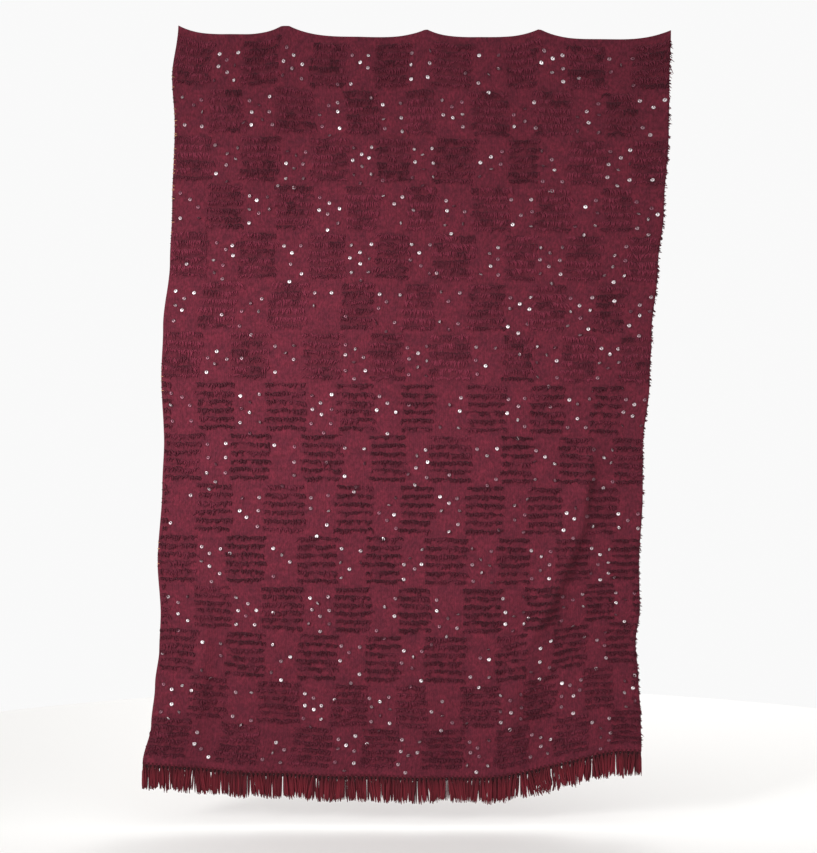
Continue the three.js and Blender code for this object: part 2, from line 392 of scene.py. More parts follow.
class Template:
    """A small shape made with bmesh operators, ready to be copied many times into one mesh."""

    def __init__(self, bm):
        bm.verts.index_update()
        self.places = np.array([v.co[:] for v in bm.verts])
        self.faces = [[v.index for v in f.verts] for f in bm.faces]
        bm.free()


def prism(sides, rings):
    """A closed prism of radius 1, with its rings one apart along Z."""
    bm = bmesh.new()
    bmesh.ops.create_cone(
        bm, cap_ends=True, segments=sides, radius1=1, radius2=1, depth=rings - 1
    )
    upright = [e for e in bm.edges if abs(e.verts[0].co.z - e.verts[1].co.z) > 0.5]
    if rings > 2:
        bmesh.ops.subdivide_edges(bm, edges=upright, cuts=rings - 2)
    bmesh.ops.translate(bm, verts=bm.verts, vec=(0, 0, (rings - 1) / 2))
    return Template(bm)


def add_copies(name, template, places, material, slot="woven_wool", **values):
    """A piece of many copies of a template, each with places and values for its vertices."""
    count, points = places.shape[:2]
    sizes = np.array([len(face) for face in template.faces])
    corners = np.concatenate(template.faces)
    corners = (corners[None] + points * np.arange(count)[:, None]).ravel()
    starts = np.concatenate([[0], np.cumsum(np.tile(sizes, count))[:-1]])
    mesh = bpy.data.meshes.new(name)
    mesh.vertices.add(count * points)
    mesh.vertices.foreach_set("co", places.ravel())
    mesh.loops.add(len(corners))
    mesh.loops.foreach_set("vertex_index", corners)
    mesh.polygons.add(len(starts))
    mesh.polygons.foreach_set("loop_start", starts)
    mesh.update(calc_edges=True)
    mesh.shade_smooth()
    for key, value in values.items():
        spread = np.broadcast_to(value, (count, points)).ravel()
        mesh.attributes.new(key, "FLOAT", "POINT").data.foreach_set("value", spread)
    return add_piece(name, mesh, material, slot)


def tubes(sides, centres, radii, reference):
    """A prism for each path: centres is tubes x rings x 3, and radii tubes x rings."""
    template = prism(sides, centres.shape[1])
    along = np.gradient(centres, axis=1)
    along /= np.linalg.norm(along, axis=-1, keepdims=True)
    side = np.cross(along, reference)
    side /= np.linalg.norm(side, axis=-1, keepdims=True)
    other = np.cross(along, side)
    ring = np.rint(template.places[:, 2]).astype(int)
    x, y = template.places[:, 0, None], template.places[:, 1, None]
    around = radii[:, ring, None] * (x * side[:, ring] + y * other[:, ring])
    return template, centres[:, ring] + around, ring


def tilted(places, way, tilt):
    """A copy of some places for each way and tilt, leant over by that tilt about the origin."""
    places = np.broadcast_to(places, (len(way), *places.shape[-2:]))
    lean = np.stack([np.cos(way), np.sin(way), np.zeros(len(way))], axis=-1)[:, None]
    up = np.array([0, 0, 1.0])
    along = (places * lean).sum(axis=-1, keepdims=True)
    high = places[..., 2:]
    cos, sin = np.cos(tilt)[:, None, None], np.sin(tilt)[:, None, None]
    return places + (along * (cos - 1) - high * sin) * lean + (high * (cos - 1) + along * sin) * up


def add_piece(name, mesh, material, slot):
    piece = bpy.data.objects.new(name, mesh)
    bpy.context.scene.collection.objects.link(piece)
    mesh.materials.append(material)
    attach(piece, BODY)
    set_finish(piece, slot)
    return piece


# Materials

def fill(tree, node, inputs):
    """Sets a node's inputs, or links them."""
    for key, value in inputs.items():
        if isinstance(value, bpy.types.NodeSocket):
            tree.links.new(value, node.inputs[key])
        else:
            node.inputs[key].default_value = value


def add(tree, kind, inputs=None, **settings):
    """Adds a node with its settings and inputs."""
    node = tree.nodes.new("ShaderNode" + kind)
    for key, value in settings.items():
        setattr(node, key, value)
    fill(tree, node, inputs or {})
    return node


def new_material(name):
    """A material with its node tree and its one shader, which is named in the tree."""
    material = bpy.data.materials.new(name)
    material.use_nodes = True
    return material, material.node_tree, material.node_tree.nodes["Principled BSDF"]


def blend(tree, share, low, high):
    """A colour between two others."""
    inputs = {"Factor": share, 6: (*low, 1), 7: (*high, 1)}
    return add(tree, "Mix", inputs, data_type="RGBA").outputs[2]


def noise(tree, place, size, detail, roughness=0.5):
    """Noise whose lumps are about so large."""
    inputs = {"Vector": place, "Scale": 1 / size, "Detail": detail, "Roughness": roughness}
    return add(tree, "TexNoise", inputs).outputs["Fac"]


def ranged(tree, value, old, new):
    """A value moved from one range to another, and cut off at its ends."""
    inputs = {
        "Value": value, "From Min": old[0], "From Max": old[1], "To Min": new[0], "To Max": new[1],
    }
    return add(tree, "MapRange", inputs).outputs["Result"]


def times(tree, one, other):
    return add(tree, "Math", {0: one, 1: other}, operation="MULTIPLY").outputs["Value"]


def relief(tree, height, strength, distance):
    """The slopes of a fine relief."""
    inputs = {"Height": height, "Strength": strength, "Distance": distance}
    return add(tree, "Bump", inputs).outputs["Normal"]


def set_wool(tree, shader, colour, slopes, bloom):
    """Dyed wool scatters light at its surface, and its loose fibres leave a soft bloom."""
    wool = {
        "Base Color": colour, "Normal": slopes, "Roughness": 0.92, "Specular IOR Level": 0.2,
        "Sheen Weight": 0.09, "Sheen Roughness": 0.45, "Sheen Tint": (*bloom, 1),
    }
    fill(tree, shader, wool)


WAVE_TURN = 0.3142  # a wave texture of scale 1 repeats after this length


def woven_wool(look):
    """Wool, hand-woven in plain weave: matt, mottled by its dye, with a fine beaded grain."""
    material, tree, shader = new_material("wool_plain_weave")
    uv = add(tree, "UVMap", uv_map="flat").outputs["UV"]
    mottle = ranged(tree, noise(tree, uv, 0.030, 5, 0.7), (0.32, 0.68), (0, 1))
    dyed = blend(tree, mottle, look.cloth_shade, look.cloth)
    # Each shot of weft takes the dye a little differently
    along_weft = add(tree, "Mapping", {"Vector": uv, "Scale": (1, 14, 1)}).outputs["Vector"]
    streaks = ranged(tree, noise(tree, along_weft, 0.12, 3), (0.3, 0.7), (0.94, 1.05))
    # Its loose fibres lie along the warp, and some catch the light and some don't. Single fibres are
    # too fine to show, so they are drawn in bundles of about 6 by 11 mm.
    along_warp = add(tree, "Mapping", {"Vector": uv, "Scale": (1, 0.5, 1)}).outputs["Vector"]
    fuzz = noise(tree, along_warp, 0.0055, 3, 0.75)
    caught = ranged(tree, fuzz, (0.38, 0.62), (0.72, 1.28))
    # Painted shade under the shag: the weave is darkened where a square of shag covers it
    under = add(tree, "Attribute", attribute_name="square").outputs["Fac"]
    shag_shade_mask = ranged(tree, under, (0, 1), (1, look.shade_under_shag))
    lit = times(tree, times(tree, streaks, caught), shag_shade_mask)
    coloured = add(
        tree, "Mix", {"Factor": 1, 6: dyed, 7: lit}, data_type="RGBA", blend_type="MULTIPLY"
    )
    # The real yarns are about half this pitch, which is too fine to show
    waves = [
        add(tree, "TexWave", {"Vector": uv, "Scale": WAVE_TURN / pitch}, bands_direction=direction)
        for direction, pitch in (("X", look.warp_pitch), ("Y", look.weft_pitch))
    ]
    beads = times(tree, waves[0].outputs["Fac"], waves[1].outputs["Fac"])
    raised = add(tree, "Math", {0: beads, 1: fuzz}, operation="ADD").outputs["Value"]
    slopes = relief(tree, raised, 0.35, 0.0012)
    set_wool(tree, shader, coloured.outputs[2], slopes, look.bloom)
    return material


def wool_yarn(name, root, tip, bloom):
    """Spun wool yarn, not woven in: matt and fibrous, from its root's colour to its tip's by shade,
    which also holds painted shade and light.
    """
    material, tree, shader = new_material(name)
    shade = add(tree, "Attribute", attribute_name="shade").outputs["Fac"]
    place = add(tree, "TexCoord").outputs["Object"]
    slopes = relief(tree, noise(tree, place, 0.0009, 2), 0.5, 0.0006)
    set_wool(tree, shader, blend(tree, shade, root, tip), slopes, bloom)
    return material


def silvered_plastic(look):
    """Pressed plastic film, silvered: bright and smooth, dulled by wear and by painted shade where a
    sequin catches little light, and darkest at its rim by painted shade.
    """
    material, tree, shader = new_material("silvered_plastic_film")
    shade = add(tree, "Attribute", attribute_name="shade").outputs["Fac"]
    # Painted reflection and shade: the shade attribute sets how brightly each sequin shines, partly by
    # wear
    worn = blend(tree, shade, look.sequin_worn_and_shaded, look.sequin)
    fill(tree, shader, {"Base Color": worn, "Metallic": 0.85, "Roughness": 0.38})
    return material


def sewing_cotton(look):
    """Twisted cotton thread: matt, with a fine grain."""
    material, tree, shader = new_material("cotton_sewing_thread")
    grain = noise(tree, add(tree, "TexCoord").outputs["Object"], 0.0012, 1)
    shadow = [channel * 0.7 for channel in look.thread]
    fill(tree, shader, {"Base Color": blend(tree, grain, shadow, look.thread), "Roughness": 0.8})
    return material


# What a user would change

def any_colour(name, about, default):
    colour = linear(default)
    return FloatVectorProperty(name=name, description=about, subtype="COLOR", default=colour)


def any_length(name, about, default):
    return FloatProperty(name=name, description=about, unit="LENGTH", default=default)


def any_share(name, about, default):
    return FloatProperty(name=name, description=about, subtype="FACTOR", min=0, max=1, default=default)


class HandiraLook(bpy.types.PropertyGroup):
    """The blanket's sizes and colours."""

    cloth: any_colour("Cloth", "Colour of the plain weave", "5e1c2a")
    cloth_shade: any_colour("Cloth shade", "The darker patches in its dye", "481623")
    # The painted shade that the shag lays on the weave under it
    shade_under_shag: any_share("Under shag", "How bright the weave is where shag covers it", 0.80)
    shag_tip: any_colour("Shag tip", "Colour of a tuft's tip", "782b3e")
    # Painted shade: the tufts darken toward this colour at their root
    shag_root: any_colour("Shag root", "Colour of a tuft's root", "270d14")
    fringe_tip: any_colour("Fringe", "Colour of the fringe", "701f2a")
    # The fringe's colour at the hem, where it takes painted shade
    fringe_root: any_colour("Fringe root", "Its colour at the hem", "2a0e13")
    bloom: any_colour("Bloom", "Colour of the wool's loose fibres", "c98a94")
    sequin: any_colour("Sequin", "Colour of a bright sequin", "f6f2f4")
    # Sequins dimmed by wear and by painted shade
    sequin_worn_and_shaded: any_colour("Dull sequin", "Colour of a worn sequin", "744854")
    thread: any_colour("Thread", "Colour of the sequins' thread", "4f1c26")
    # The overcast stitches in two tones: tan as painted light, and dark as painted shade
    overcast: any_colour("Overcast", "Colour of the selvedge's faded stitches", "b08362")
    overcast_shaded: any_colour("Dark overcast", "Colour of the selvedge's other stitches", "2c1c16")
    warp_pitch: any_length("Warp pitch", "From one warp to the next", 0.0054)
    weft_pitch: any_length("Weft pitch", "From one weft to the next", 0.0032)
    tufts: IntProperty(
        name="Tufts", description="Tufts in each row across a square", default=58, min=4
    )
    tuft_length: any_length("Tuft length", "Length of a tuft", 0.0093)
    fluffy_length: any_length("Fluffy length", "Length of the upper rows' tufts", 0.0185)
    tuft_lift: any_length("Tuft lift", "How far a tuft stands out", 0.0062)
    tuft_width: any_length("Tuft width", "Width of a tuft", 0.0026)
    sequin_width: any_length("Sequin width", "Width of a sequin", 0.010)
    sequins_lost: any_share("Sequins lost", "Share of the sequins that have come off", 0.25)
    yarn_width: any_length("Yarn width", "Width of a fringe yarn", 0.0033)


# Pieces

CLOTH_CELL = 0.008
EDGE_ROUND = 0.0011
RIM_ANGLE = 1  # radians
# The weave's painted shade under a square of shag: how ragged its edge is, where it starts and is full,
# and its share in the rows whose tufts lie in lines
EDGE_RAGGED = 0.005
DARKENS = (-0.004, 0.012)
DARK_IN_LINES = 0.3


class HANDIRA_OT_cloth(bpy.types.Operator):
    """Weave the ground cloth, one sheet with its hem"""

    bl_idname = "handira.cloth"
    bl_label = "Ground cloth"

    def execute(self, context):
        look = context.scene.handira
        cells = [round(WIDTH / CLOTH_CELL), round(LENGTH / CLOTH_CELL)]
        bm = bmesh.new()
        bmesh.ops.create_grid(bm, x_segments=cells[0], y_segments=cells[1], size=0.5)
        bmesh.ops.scale(bm, verts=bm.verts, vec=(WIDTH, LENGTH, 1))
        bmesh.ops.translate(bm, verts=bm.verts, vec=(WIDTH / 2, -LENGTH / 2, THICKNESS / 2))
        bmesh.ops.solidify(bm, geom=bm.faces, thickness=THICKNESS)
        bm.normal_update()
        rim = [e for e in bm.edges if e.calc_face_angle(0) > RIM_ANGLE]
        bmesh.ops.bevel(
            bm, geom=rim, offset=EDGE_ROUND, segments=2, profile=0.5, affect="EDGES", material=-1
        )
        bmesh.ops.recalc_face_normals(bm, faces=bm.faces)
        mesh = bpy.data.meshes.new("ground_cloth_woven")
        bm.to_mesh(mesh)
        bm.free()
        flat = np.empty(len(mesh.vertices) * 3)
        mesh.vertices.foreach_get("co", flat)
        flat = flat.reshape(-1, 3)
        self.mark(mesh, flat)
        mesh.vertices.foreach_set("co", hang(flat).ravel())
        mesh.shade_smooth()
        cloth = add_piece("ground_cloth_woven", mesh, woven_wool(look), "woven_wool")
        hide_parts("ground_cloth")
        return {"FINISHED"}

    def mark(self, mesh, flat):
        """Gives the mesh its flat places as UVs, and marks where its squares of shag lay painted shade
        on the weave.
        """
        corner = np.empty(len(mesh.loops), dtype=int)
        mesh.loops.foreach_get("vertex_index", corner)
        mesh.uv_layers.new(name="flat").data.foreach_set("uv", flat[corner, :2].ravel())
        across, down = flat[:, 0], -flat[:, 1]
        column = np.clip(np.searchsorted(COLUMN_EDGES, across) - 1, 0, len(COLUMN_WIDTHS) - 1)
        row = np.clip(np.searchsorted(ROW_EDGES, down) - 1, 0, len(ROW_HEIGHTS) - 1)
        beside = np.minimum(across - COLUMN_EDGES[column], COLUMN_EDGES[column + 1] - across)
        beyond = np.minimum(down - ROW_EDGES[row], ROW_EDGES[row + 1] - down)
        inside = np.minimum(beside, beyond)
        inside = inside + EDGE_RAGGED * smooth_noise(across, down, **RAGGED)
        # Painted shade under the shag, on the cloth's front only
        shag_shade_mask = ease(inside, *DARKENS) * ((column + row) % 2 == 0) * (flat[:, 2] > 0)
        shag_shade_mask = shag_shade_mask * np.where(row < FLUFFY_ROWS, 1, DARK_IN_LINES)
        mesh.attributes.new("square", "FLOAT", "POINT").data.foreach_set("value", shag_shade_mask)


def shag_blocks(rows):
    """The stretches of shag in some rows: the row, and where each starts and ends across."""
    for row in rows:
        for column in range(row % 2, len(COLUMN_WIDTHS), 2):
            start, end = COLUMN_EDGES[column] - SHAG_SPILL, COLUMN_EDGES[column + 1] + SHAG_SPILL
            yield row, max(start, FIRST_TUFT), min(end, WIDTH)
        for strip in EDGE_STRIPS:
            if strip["row"] == row:
                yield row, strip["start"], strip["end"]


TUFT_SIDES = 3
SUNK = 0.0012  # how far below the cloth's front a tuft is rooted

# From a tuft's root to its tip: how far it stands out, and its thickness
TUFT_STANDS_OUT = np.array([0.1, 1, 0.5])
TUFT_SWELLS = np.array([0.8, 1, 0.4])

# The spread of a tuft's length, lift and girth, and by what share each changes where the tuft is
# tangled, adrift, worn and fluffy, and in a square's last line
TUFT_LENGTH = ((0.6, 1.3), 0.35, 0, -0.65, 0)
TUFT_LIFT = ((0.6, 1.2), 0, 0.2, -0.5, -0.5)
TUFT_GIRTH = ((0.7, 1.25), 0, 0, 0, -0.15)
LAST_LENGTH = -0.45

# Its lean in radians, tangled, adrift and by chance, and where it can hardly lean left
TUFT_LEAN = (0.5, 0.3, 0.26)
FLUFFY_LEAN = -0.4
LEFT_EDGE = (0.002, 0.016)

# The shade of its tip and root, darker at the root by painted shade: in lines, with its change by wear,
# then fluffy, by the painted shadow where the pile parts
TIP_SHADE = (0.21, 0.25, 0.84, -0.5)
ROOT_SHADE = (0.45, 0, 0.92, -0.85)
TANGLED_TIP = 0.05
TIP_DIFFERS = 0.08
PALEST_TIP = 0.85
# A square's last line gets more of the partings' painted shadow
LAST_PARTS = 0.25  # how much more a square's last line is parted
PARTINGS_RUN = 0.35  # the smaller it is, the longer the partings run across
FLUFFY_WORN = -0.7  # by what share a fluffy place is less worn

# A square's paleness, and how fluffy it is beside the left selvedge or where it is matted
PALER_AT_MOST = 0.10
LEFT_FLUFF = 0.2
LEFT_OF = 0.05
MATTED_FLUFF = 0.42

# How far a line of tufts may go past its ends or stop short, and how it waves, slopes and frays
ENDS_PAST = 0.002
ENDS_SHORT = (0.005, 0.010)
FEWEST = 4
WAVES = ({"share": 1, "rate": (40, 110)}, {"share": 0.6, "rate": (200, 400)})
WAVE_HEIGHT = 0.0013
LINE_SLOPE = 0.02
TUFT_STRAY = 0.001
FRAY = 0.0011

# The tufts of a wisp: how far inside the selvedge, off their place and spread, and their own values
WISP_INSET = (0.0005, 0.0035)
WISP_STRAY = 0.006
WISP_SPREAD = 0.0028
WISP_FLUFF = (0, 0.8)
WISP_LENGTH = (0.002, 0.008)
WISP_LEAN = (0.3, 1.5)

# The knots' turns on the back
KNOT_LENGTH = (0.0046, 0.0060)
KNOT_SLANT = 0.15
KNOT_STRAY = 0.0007
KNOT_OUT = 0.0003
KNOT_RADIUS = 0.45  # as a share of a tuft's width
KNOT_SHADE = (0.30, 0.55)


class HANDIRA_OT_shag(bpy.types.Operator):
    """Knot the shag, row by row, into the dark squares"""

    bl_idname = "handira.shag"
    bl_label = "Shag"

    def execute(self, context):
        look = context.scene.handira
        material = wool_yarn("wool_shag_yarn", look.shag_root, look.shag_tip, look.bloom)
        for first in range(0, len(ROW_HEIGHTS), ROWS_A_PIECE):
            rows = range(first, first + ROWS_A_PIECE)
            name = f"shag_rows_{first + 1}_to_{first + ROWS_A_PIECE}"
            self.knot(name, rows, look, material)
        self.back(look, material)
        return {"FINISHED"}

    def knot(self, name, rows, look, material):
        """One piece of shag, a few rows of squares high."""
        rng = np.random.default_rng(rows[0])
        across, down, fluff, pale, last = self.roots(rows, look, rng)
        count = len(across)
        tangle = smooth_noise(across, down, **TANGLED)
        drift = smooth_noise(across, down, **DRIFTING)
        parting_shade = patches(PARTING_SHADE, across * PARTINGS_RUN, down, LAST_PARTS * (last > 0))
        worn = patches(WORN, across, down) * (1 + FLUFFY_WORN * fluff)

        def varied(spread, *shares):
            """A factor for each tuft, by chance and by where it is."""
            factor = rng.uniform(*spread, count)
            for share, place in zip(shares, (tangle, drift, worn, fluff)):
                factor = factor * (1 + share * place)
            return factor

        fluffy = look.fluffy_length * (1 + LAST_LENGTH * (last > 0))
        length = mix(look.tuft_length, fluffy, fluff) * varied(*TUFT_LENGTH)
        length = np.where(last < 0, rng.uniform(*WISP_LENGTH, count), length)
        lift = look.tuft_lift * varied(*TUFT_LIFT)
        tangled, adrift, by_chance = TUFT_LEAN
        lean = rng.normal(0, by_chance, count) * (1 + FLUFFY_LEAN * fluff)
        lean += tangled * tangle + adrift * drift
        lean = np.where(last < 0, rng.uniform(*WISP_LEAN, count), lean)
        lean = np.maximum(lean, -ease(across, *LEFT_EDGE))
        fall = length[:, None] * np.linspace(0, 1, len(TUFT_STANDS_OUT))
        centres = np.stack(
            [
                across[:, None] + fall * np.sin(lean)[:, None],
                -down[:, None] - fall * np.cos(lean)[:, None],
                THICKNESS / 2 - SUNK + lift[:, None] * TUFT_STANDS_OUT,
            ],
            axis=-1,
        )
        radii = (look.tuft_width / 2 * varied(*TUFT_GIRTH))[:, None] * TUFT_SWELLS
        template, places, ring = tubes(TUFT_SIDES, centres, radii, (0, 0, 1.0))

        def shaded(in_lines, by_wear, fluffy, by_parting_shade):
            return mix(in_lines + by_wear * worn, fluffy + by_parting_shade * parting_shade, fluff)

        tip = shaded(*TIP_SHADE) + TANGLED_TIP * tangle + pale
        tip += TIP_DIFFERS * rng.uniform(-0.5, 0.5, count)
        # Painted shade: each tuft darkens from its tip to its root, most in lines of tufts and where the
        # pile parts
        shade = tip[:, None] * mix(shaded(*ROOT_SHADE)[:, None], 1, np.minimum(ring, 1)[None])
        shade = np.clip(shade, 0, PALEST_TIP)
        add_copies(name, template, hang(places), material, shade=shade)

    def roots(self, rows, look, rng):
        """Where each tuft is rooted, how fluffy and pale it is, and if its line is a square's last.

        A wisp's tufts have a line of -1.
        """
        found = []
        for row, start, end in shag_blocks(rows):
            band = SHAG_BANDS[np.searchsorted(named(SHAG_BANDS, "first"), row, side="right") - 1]
            in_lines = row >= FLUFFY_ROWS
            combed = rng.uniform(*band["fluff"])
            combed = combed + LEFT_FLUFF * (start < LEFT_OF) * in_lines
            pale = np.clip(rng.normal(0, band["differ"]), -PALER_AT_MOST, PALER_AT_MOST)
            pale = pale + band["paler"]
            for line in range(TUFT_ROWS):
                across, down = self.line(row, line, start, end, combed, look, rng)
                fluff = combed + MATTED_FLUFF * patches(MATTED, across, down) * in_lines
                count = len(across)
                tuft = [fluff, np.full(count, pale), np.full(count, line == TUFT_ROWS - 1)]
                kept = (across > SELVEDGE_INSET) & (across < WIDTH - SELVEDGE_INSET)
                found.append(np.stack([across, down, *tuft])[:, kept])
        for row in rows:
            wisps = WISPS_A_SQUARE + MORE_BY_SHAG * (row % 2 == 0)
            for middle in ROW_EDGES[row] + ROW_HEIGHTS[row] * (np.arange(wisps) + 0.5) / wisps:
                count = rng.integers(*TUFTS_A_WISP, endpoint=True)
                across = WIDTH - rng.uniform(*WISP_INSET, count)
                down = middle + rng.uniform(-WISP_STRAY, WISP_STRAY)
                down = down + rng.normal(0, WISP_SPREAD, count)
                wisp = np.broadcast_to([[rng.uniform(*WISP_FLUFF)], [0], [-1]], (3, count))
                found.append(np.stack([across, down, *wisp]))
        return np.concatenate(found, axis=1)

    def line(self, row, line, start, end, combed, look, rng):
        """The roots of one line of tufts, across and down."""
        usual = WIDTH / len(COLUMN_WIDTHS) + 2 * SHAG_SPILL
        pitch = ROW_HEIGHTS[row] / TUFT_ROWS
        short = mix(*ENDS_SHORT, combed)
        first = start + rng.uniform(-ENDS_PAST, short)
        final = end - rng.uniform(-ENDS_PAST, short)
        count = max(FEWEST, round(look.tufts * (final - first) / usual))
        across = np.linspace(first, final, count) + rng.uniform(-TUFT_STRAY, TUFT_STRAY, count)
        wave = sum(
            part["share"] * np.sin(across * rng.uniform(*part["rate"]) + rng.uniform(0, TURN))
            for part in WAVES
        )
        slope = rng.uniform(-LINE_SLOPE, LINE_SLOPE) * (across - (first + final) / 2)
        down = ROW_EDGES[row] + (line + TUFTS_START) * pitch + WAVE_HEIGHT * wave + slope
        return across, down + rng.normal(0, FRAY, count)

    def back(self, look, material):
        """The turn that each knot takes behind the cloth, in rows as the tufts are."""
        rng = np.random.default_rng(31)
        found = []
        for row, start, end in shag_blocks(range(len(ROW_HEIGHTS))):
            count = max(1, round(KNOTS * (end - start) * len(COLUMN_WIDTHS) / WIDTH))
            for line in range(TUFT_ROWS):
                across = start + (np.arange(count) + 0.5) / count * (end - start)
                down = ROW_EDGES[row] + (line + TUFTS_START) * ROW_HEIGHTS[row] / TUFT_ROWS
                found.append(np.stack([across, down + rng.normal(0, KNOT_STRAY, count)]))
        across, down = np.concatenate(found, axis=1)
        t = np.array([[-0.5, 0.5]])
        length = rng.uniform(*KNOT_LENGTH, len(across))[:, None]
        slant = rng.normal(0, KNOT_SLANT, len(across))[:, None]
        centres = np.stack(
            [
                across[:, None] + t * length,
                -down[:, None] + t * length * slant,
                np.full((len(across), 2), -THICKNESS / 2 - KNOT_OUT),
            ],
            axis=-1,
        )
        radii = np.full(centres.shape[:2], look.tuft_width * KNOT_RADIUS)
        template, places, _ = tubes(TUFT_SIDES, centres, radii, (0, 1.0, 0))
        shade = rng.uniform(*KNOT_SHADE, len(across))[:, None]
        add_copies("shag_knots_on_back", template, hang(places), material, shade=shade)


def squares(first):
    """Every other square of the cloth, starting with the first or the second of the top row."""
    for row in range(len(ROW_HEIGHTS)):
        for column in range((row + first) % 2, len(COLUMN_WIDTHS), 2):
            yield row, column


FILM = 0.06  # of a sequin's radius, as CUP is
CUP = 0.10
TURNED_SHARE = 0.36
TURNED_BY = (0.6, 1.15)  # radians, as LEANT_BY and STITCH_TURNS are
LEANT_BY = 0.2
RAISED = 0.7  # how far a turned disc's middle comes out, as a share of what its rim needs
DIMMING = 2.2  # the higher it is, the more of the sequins are dim, by wear and by painted shade
RIM_SHADE = 0.6  # how bright a disc is at its rim, as a share of its middle: painted shade where the cupped rim turns from the light
SEQUIN_STANDS_OUT = 0.0010

# How far a square's sequins are off together, beside and down, and each of them by itself
SQUARE_BESIDE = 0.003
SQUARE_DOWN = (-0.003, 0.005)
SQUARE_STRETCH = (0.93, 1.04)
SEQUIN_STRAY = (0.0024, 0.0026)

# A stitch from the hole into the cloth: how far out it is in radii of the disc, and how far over it
THREAD_RADIUS = 0.0006
STITCH_OUT = (0, 0.45, 1, 1.25)
STITCH_OVER = (-0.0014, 0.0010, 0.0009, 0)
STITCH_TURNS = 0.55
STITCH_SUNK = 0.001


class HANDIRA_OT_sequins(bpy.types.Operator):
    """Sew the sequins onto the plain squares"""

    bl_idname = "handira.sequins"
    bl_label = "Sequins"

    def disc(self):
        """A cupped ring of film with a hole at its middle, of radius 1."""
        bm = bmesh.new()
        bmesh.ops.create_circle(bm, cap_ends=False, segments=SEQUIN_SIDES, radius=1)
        drawn = bmesh.ops.extrude_edge_only(bm, edges=bm.edges)
        inner = [v for v in drawn["geom"] if isinstance(v, bmesh.types.BMVert)]
        bmesh.ops.scale(bm, verts=inner, vec=(SEQUIN_HOLE, SEQUIN_HOLE, 1))
        bmesh.ops.translate(bm, verts=inner, vec=(0, 0, -CUP))
        bmesh.ops.recalc_face_normals(bm, faces=bm.faces)
        bmesh.ops.solidify(bm, geom=bm.faces, thickness=FILM)
        bmesh.ops.recalc_face_normals(bm, faces=bm.faces)
        return Template(bm)

    def execute(self, context):
        look = context.scene.handira
        rng = np.random.default_rng(5)
        centres = self.sewn_at(look, rng)
        count = len(centres)
        way = rng.uniform(0, 2 * np.pi, count)
        turned = rng.uniform(0, 1, count) < TURNED_SHARE
        turned_by = rng.uniform(*TURNED_BY, count)
        tilt = np.where(turned, turned_by, np.abs(rng.normal(0, LEANT_BY, count)))
        centres[:, 2] += RAISED * look.sequin_width / 2 * np.sin(tilt)
        disc = self.disc()
        places = tilted(disc.places * look.sequin_width / 2, way, tilt) + centres[:, None]
        # Painted reflection and shade: each sequin's brightness, partly wear, and painted shade at its
        # rim
        shade = rng.uniform(0, 1, count)[:, None] ** DIMMING
        at_rim = np.hypot(disc.places[:, 0], disc.places[:, 1]) > (1 + SEQUIN_HOLE) / 2
        shade = shade * np.where(at_rim, RIM_SHADE, 1)
        add_copies("sequins", disc, hang(places), silvered_plastic(look), shade=shade)
        self.sew(centres, way, tilt, look, rng)
        return {"FINISHED"}

    def sewn_at(self, look, rng):
        """The middle of each sequin that is still there, on the flat cloth."""
        found = []
        for row, column in squares(1):
            middle = (COLUMN_EDGES[column] + COLUMN_EDGES[column + 1]) / 2
            middle += rng.uniform(-SQUARE_BESIDE, SQUARE_BESIDE)
            stretch, shift = rng.uniform(*SQUARE_STRETCH), rng.uniform(*SQUARE_DOWN)
            for line in SEQUIN_LINES:
                for beside in line["beside"]:
                    off = rng.normal(0, SEQUIN_STRAY)
                    down = line["down"] * stretch * ROW_HEIGHTS[row] + shift + off[1]
                    found.append((middle + beside + off[0], ROW_EDGES[row] + down))
        # Now and then one is sewn into the shag
        for row, column in list(squares(0))[::2]:
            across = rng.uniform(COLUMN_EDGES[column], COLUMN_EDGES[column + 1])
            found.append((across, ROW_EDGES[row] + rng.uniform(0.05, 0.95) * ROW_HEIGHTS[row]))
        across, down = np.transpose(found)
        kept = rng.uniform(0, 1, len(found)) > look.sequins_lost
        kept &= (across > SEQUIN_INSET) & (across < WIDTH - SEQUIN_INSET)
        kept &= down < LENGTH - SEQUIN_INSET
        found = np.stack([across, -down, np.full(len(down), THICKNESS / 2 + SEQUIN_STANDS_OUT)], axis=-1)
        return found[kept]

    def sew(self, centres, way, tilt, look, rng):
        """A stitch for each sequin, from its hole over its rim and back into the cloth."""
        count = len(centres)
        turn = np.pi / 2 + rng.normal(0, STITCH_TURNS, count)
        reach = look.sequin_width / 2 * np.array(STITCH_OUT)
        paths = np.empty((count, len(reach), 3))
        paths[..., 0] = reach[None] * np.cos(turn)[:, None]
        paths[..., 1] = reach[None] * np.sin(turn)[:, None]
        paths[..., 2] = STITCH_OVER
        paths = tilted(paths, way, tilt) + centres[:, None]
        paths[:, -1, 2] = THICKNESS / 2 - STITCH_SUNK
        radii = np.full((count, len(reach)), THREAD_RADIUS)
        template, places, _ = tubes(4, paths, radii, (0, 0, 1.0))
        add_copies("sequin_threads", template, hang(places), sewing_cotton(look))


YARN_RINGS = 7
YARN_SIDES = 4
ROOTED = 0.005
STRANDS_DIFFER = (0.92, 1.08)  # in length, and so do their yarns
YARNS_DIFFER = (0.9, 1.04)
# Painted shade under the hem: how many rings are darkened, and how dark the first one is
DARK_RINGS = 3
DARK_AT_HEM = 0.3
DARKEST = 0.50
YARN_SHADES = 0.2
STRAND_SHADES = 0.3

